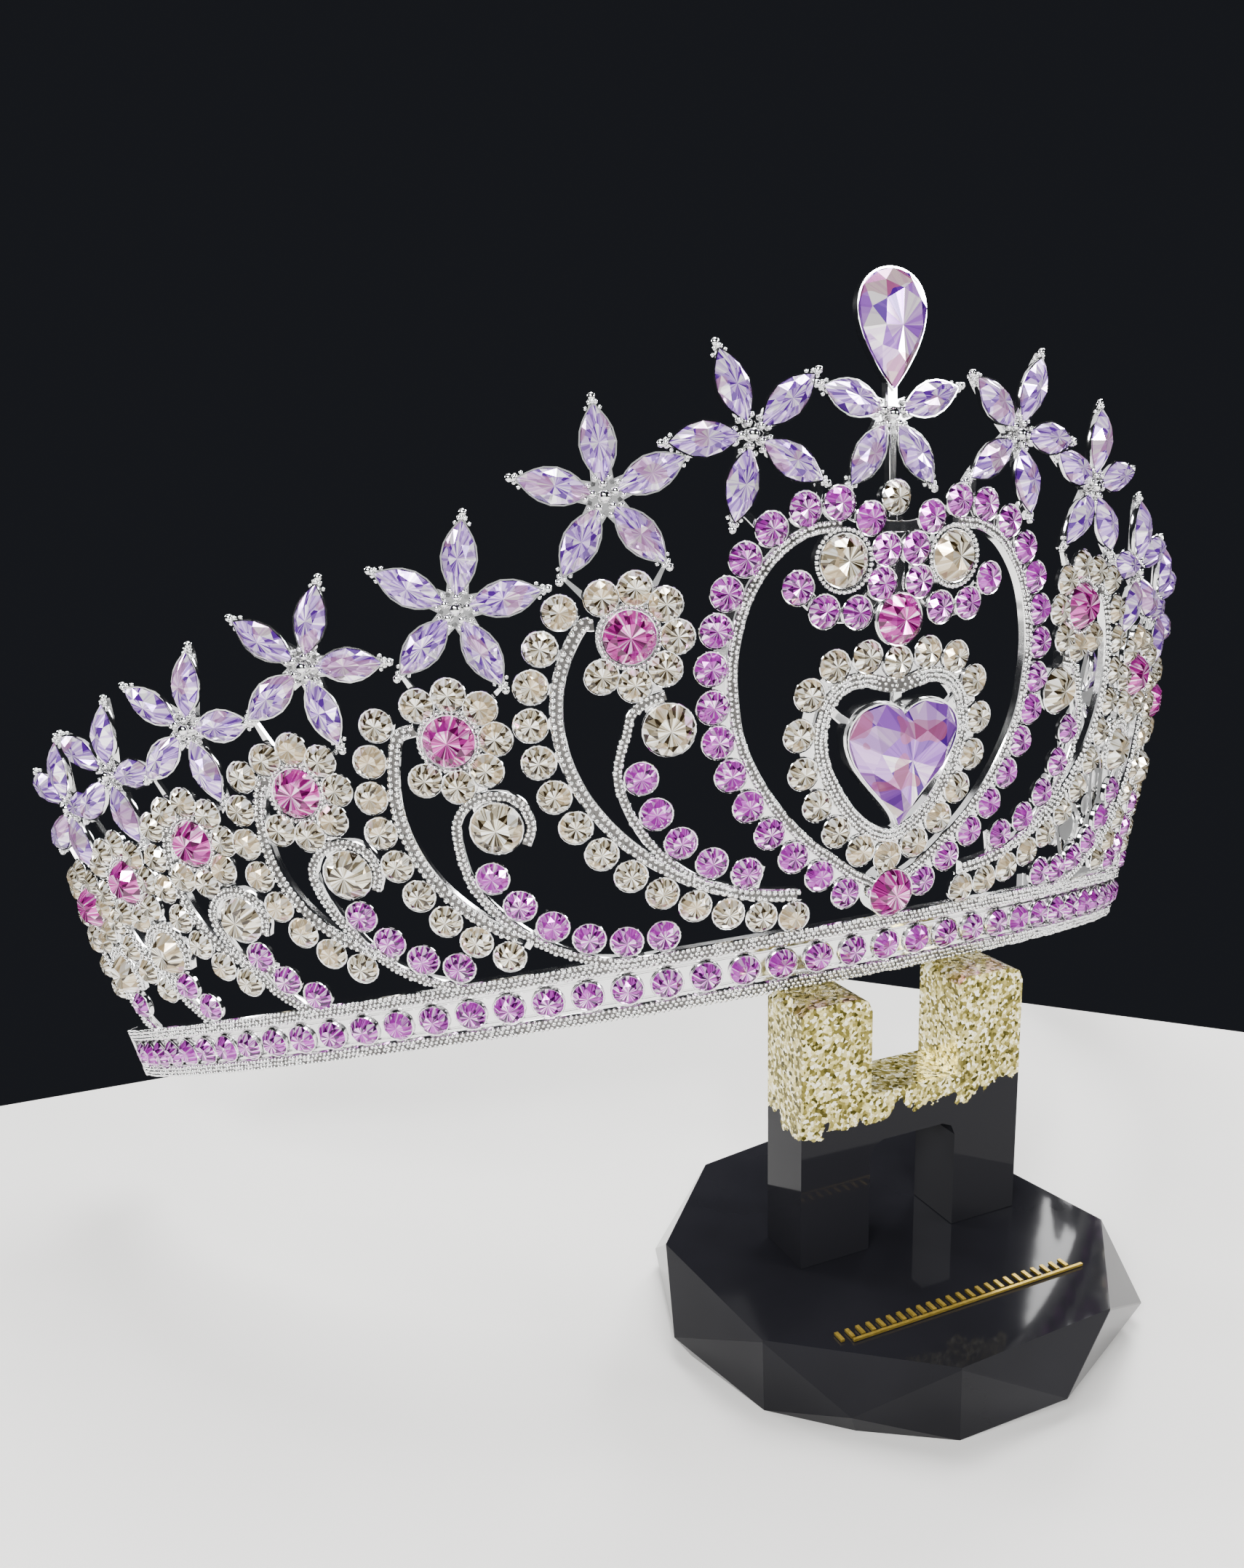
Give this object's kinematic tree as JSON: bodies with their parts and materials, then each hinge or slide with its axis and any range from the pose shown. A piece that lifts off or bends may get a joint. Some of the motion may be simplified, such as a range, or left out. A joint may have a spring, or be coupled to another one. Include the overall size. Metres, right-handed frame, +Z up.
{
  "type": "rhinestone tiara on a stand",
  "caption": "Curved tiara of silver-coloured metal with purple, pink and clear cut stones, a heart, a drop and a row of flowers, resting on a small black two-post stand.",
  "frame": {"origin": "on the floor under the middle of the rail's front lower edge", "axes": "+X towards the right arm as seen from the front, +Y from the front to the back, +Z up"},
  "size_m": [0.197, 0.1047, 0.1333],
  "materials": {
    "silver_metal": "polished",
    "lilac_glass": "faceted",
    "purple_glass": "faceted",
    "pink_glass": "faceted",
    "clear_glass": "faceted",
    "black_resin": "glossy",
    "gold_ink": "satin"
  },
  "bodies": {
    "root": {"tiara_frame": "silver_metal", "heart_stone": "lilac_glass", "drop_stone": "lilac_glass", "upper_pink_stone": "pink_glass", "lower_pink_stone": "pink_glass", "crest_small_stone": "clear_glass", "lobe_stone_left": "clear_glass", "lobe_stone_right": "clear_glass", "rail_stones": "purple_glass", "loop_stones": "purple_glass", "wreath_stones": "clear_glass", "cluster_stones": "purple_glass", "rosette_stones_left": "pink_glass", "rosette_stones_right": "pink_glass", "scroll_stones_left": "clear_glass", "scroll_stones_right": "clear_glass", "purple_string_left": "purple_glass", "purple_string_right": "purple_glass", "flower_centre": "lilac_glass", "flower_left_1": "lilac_glass", "flower_left_2": "lilac_glass", "flower_left_3": "lilac_glass", "flower_left_4": "lilac_glass", "flower_left_5": "lilac_glass", "flower_left_6": "lilac_glass", "flower_left_7": "lilac_glass", "flower_right_1": "lilac_glass", "flower_right_2": "lilac_glass", "flower_right_3": "lilac_glass", "flower_right_4": "lilac_glass", "flower_right_5": "lilac_glass", "flower_right_6": "lilac_glass", "flower_right_7": "lilac_glass", "stand_base": "black_resin", "stand_upright": "black_resin", "gold_rule": "gold_ink"}
  },
  "joints": []
}
